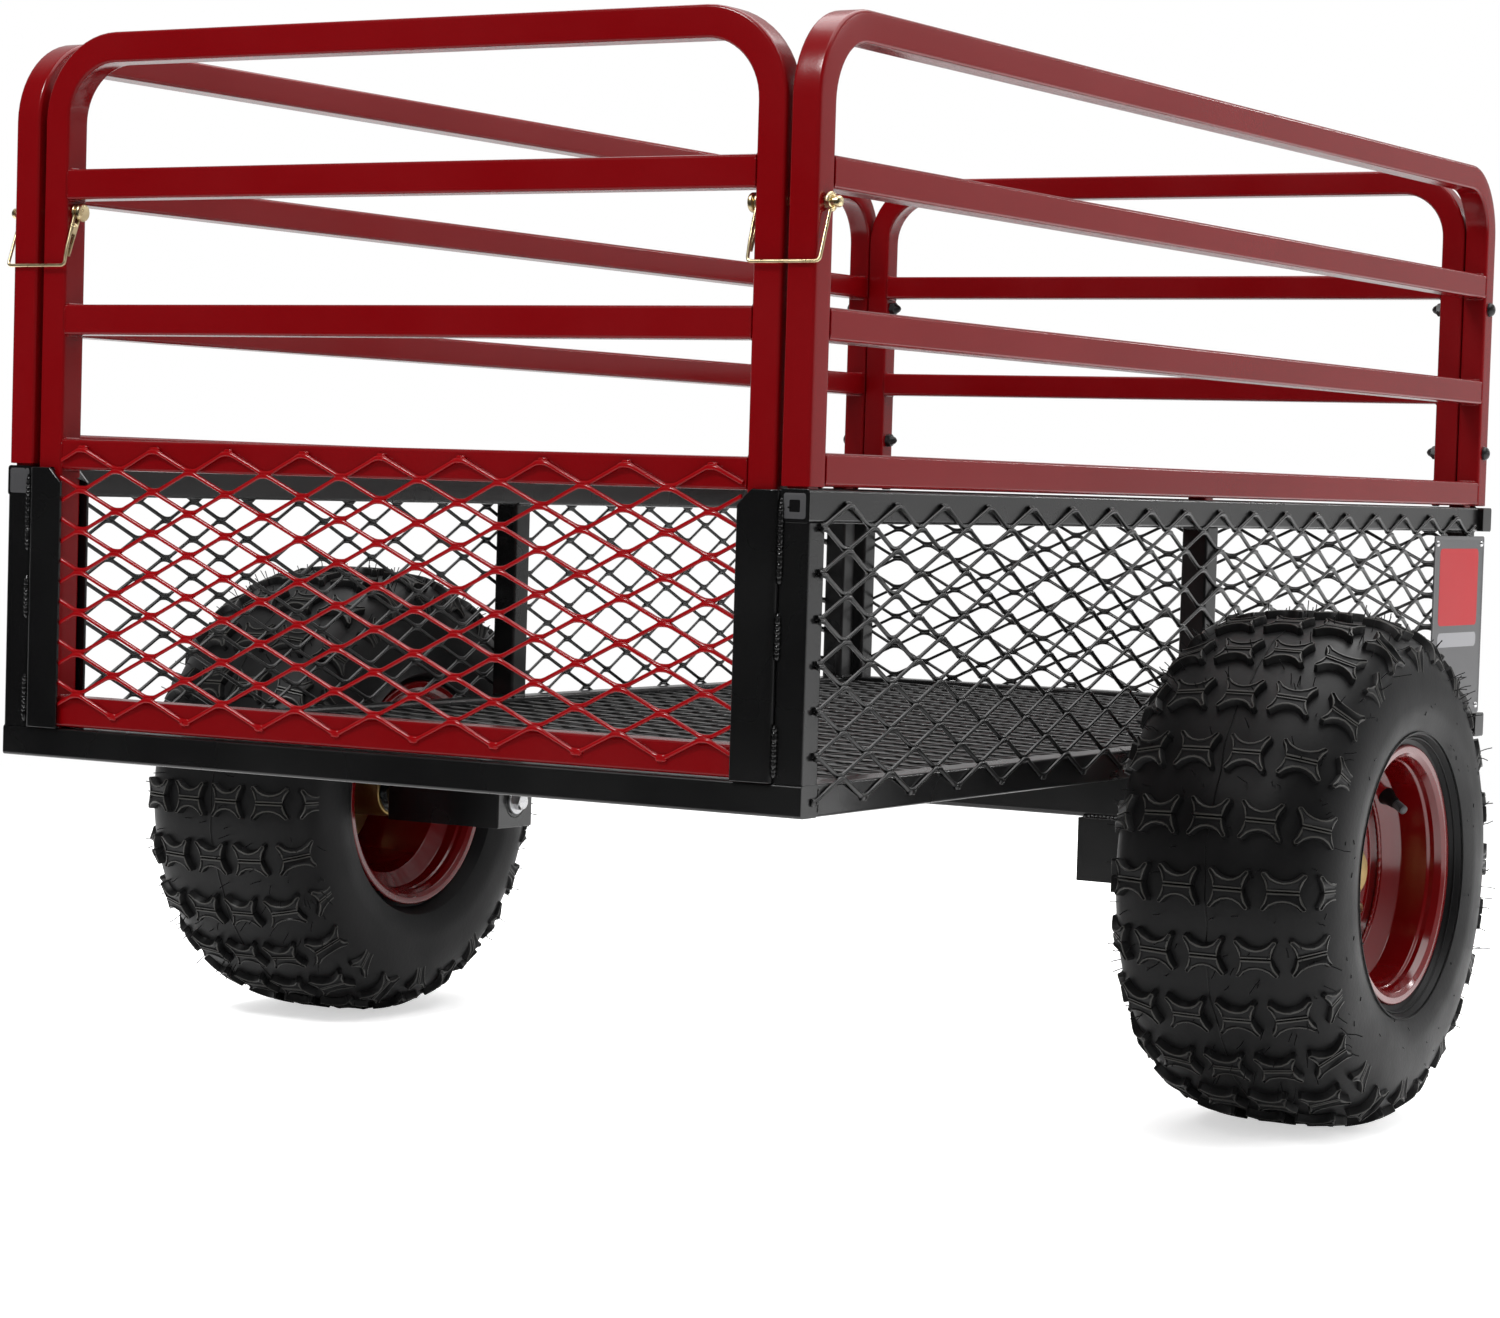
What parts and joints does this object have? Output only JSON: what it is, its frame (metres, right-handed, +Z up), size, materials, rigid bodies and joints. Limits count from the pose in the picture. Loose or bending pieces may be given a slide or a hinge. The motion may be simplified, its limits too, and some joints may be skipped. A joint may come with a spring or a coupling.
{
  "type": "utility trailer",
  "caption": "Single-axle utility trailer for small stock and loads: mesh-sided bed, removable stake racks, lift-out tailgate, flotation tyres and a clevis hitch.",
  "frame": {"origin": "on the ground under the middle of the overall length and width", "axes": "+X forward to the hitch, +Y to the left, +Z up"},
  "size_m": [2.235, 1.242, 0.8945],
  "materials": {
    "badge_grey": "plain grey painted sheet",
    "bearing_steel": "ground steel",
    "black_powder": "black gloss powder coat",
    "black_zinc": "black coated steel",
    "bright_zinc": "bright zinc plating",
    "hub_zinc": "yellow passivated zinc on steel",
    "plug_plastic": "black moulded plastic",
    "red_powder": "red gloss powder coat",
    "rim_red": "deep red gloss paint",
    "tyre": "matt moulded rubber",
    "valve_rubber": "smooth black rubber",
    "yellow_zinc": "yellow passivated zinc on steel"
  },
  "bodies": {
    "bed": {"axle_beam": "black_powder", "axle_bolts": "bright_zinc", "axle_brackets": "black_powder", "axle_nuts": "bright_zinc", "badge_plate": "badge_grey", "floor_bearers": "black_powder", "floor_mesh": "black_powder", "front_mesh": "black_powder", "front_posts": "black_powder", "front_rail_bottom": "black_powder", "front_rail_top": "black_powder", "gate_guide_left": "black_powder", "gate_guide_right": "black_powder", "hitch_fork": "black_powder", "leg_bracket": "black_powder", "leg_pivot_pin": "bright_zinc", "post_front_left": "black_powder", "post_front_right": "black_powder", "post_middle_left": "black_powder", "post_middle_right": "black_powder", "post_rear_left": "black_powder", "post_rear_right": "black_powder", "rail_plugs": "plug_plastic", "rear_rail": "black_powder", "side_mesh_left": "black_powder", "side_mesh_right": "black_powder", "side_rail_left": "black_powder", "side_rail_right": "black_powder", "stub_axle_left": "black_powder", "stub_axle_right": "black_powder", "tongue": "black_powder", "tongue_braces": "black_powder", "top_rail_left": "black_powder", "top_rail_right": "black_powder"},
    "cage": {"lock_pins": "yellow_zinc", "rack_bolts": "black_zinc", "rack_cap_nuts": "black_zinc", "rack_front": "red_powder", "rack_left": "red_powder", "rack_right": "red_powder", "tailgate": "red_powder", "tailgate_mesh": "red_powder"},
    "bail_left": {"bail_left": "yellow_zinc"},
    "bail_right": {"bail_right": "yellow_zinc"},
    "wheel_left": {"bearings_left": "bearing_steel", "dust_cap_left": "hub_zinc", "hub_left": "hub_zinc", "lug_nuts_left": "yellow_zinc", "rim_left": "rim_red", "tyre_left": "tyre", "valve_stem_left": "valve_rubber"},
    "wheel_right": {"bearings_right": "bearing_steel", "dust_cap_right": "hub_zinc", "hub_right": "hub_zinc", "lug_nuts_right": "yellow_zinc", "rim_right": "rim_red", "tyre_right": "tyre", "valve_stem_right": "valve_rubber"},
    "support_leg": {"support_leg": "black_powder"}
  },
  "joints": [
    {"name": "cage_lift", "type": "slide", "parent": "bed", "child": "cage", "axis": [0, 0, 1], "range_m": [0, 0.25]},
    {"name": "bail_left_swing", "type": "hinge", "parent": "cage", "child": "bail_left", "pos_m": [-1.1, 0.359, 0.748], "axis": [0, 1, 0], "range_deg": [0, 100]},
    {"name": "bail_right_swing", "type": "hinge", "parent": "cage", "child": "bail_right", "pos_m": [-1.1, -0.359, 0.748], "axis": [0, 1, 0], "range_deg": [0, 100]},
    {"name": "wheel_left_spin", "type": "hinge", "parent": "bed", "child": "wheel_left", "pos_m": [-0.4585, 0.518, 0.2225], "axis": [0, 1, 0], "continuous": true},
    {"name": "wheel_right_spin", "type": "hinge", "parent": "bed", "child": "wheel_right", "pos_m": [-0.4585, -0.518, 0.2225], "axis": [0, 1, 0], "continuous": true},
    {"name": "support_leg_fold", "type": "hinge", "parent": "bed", "child": "support_leg", "pos_m": [0.7625, 0, 0.223], "axis": [0, 1, 0], "range_deg": [0, 90]}
  ]
}
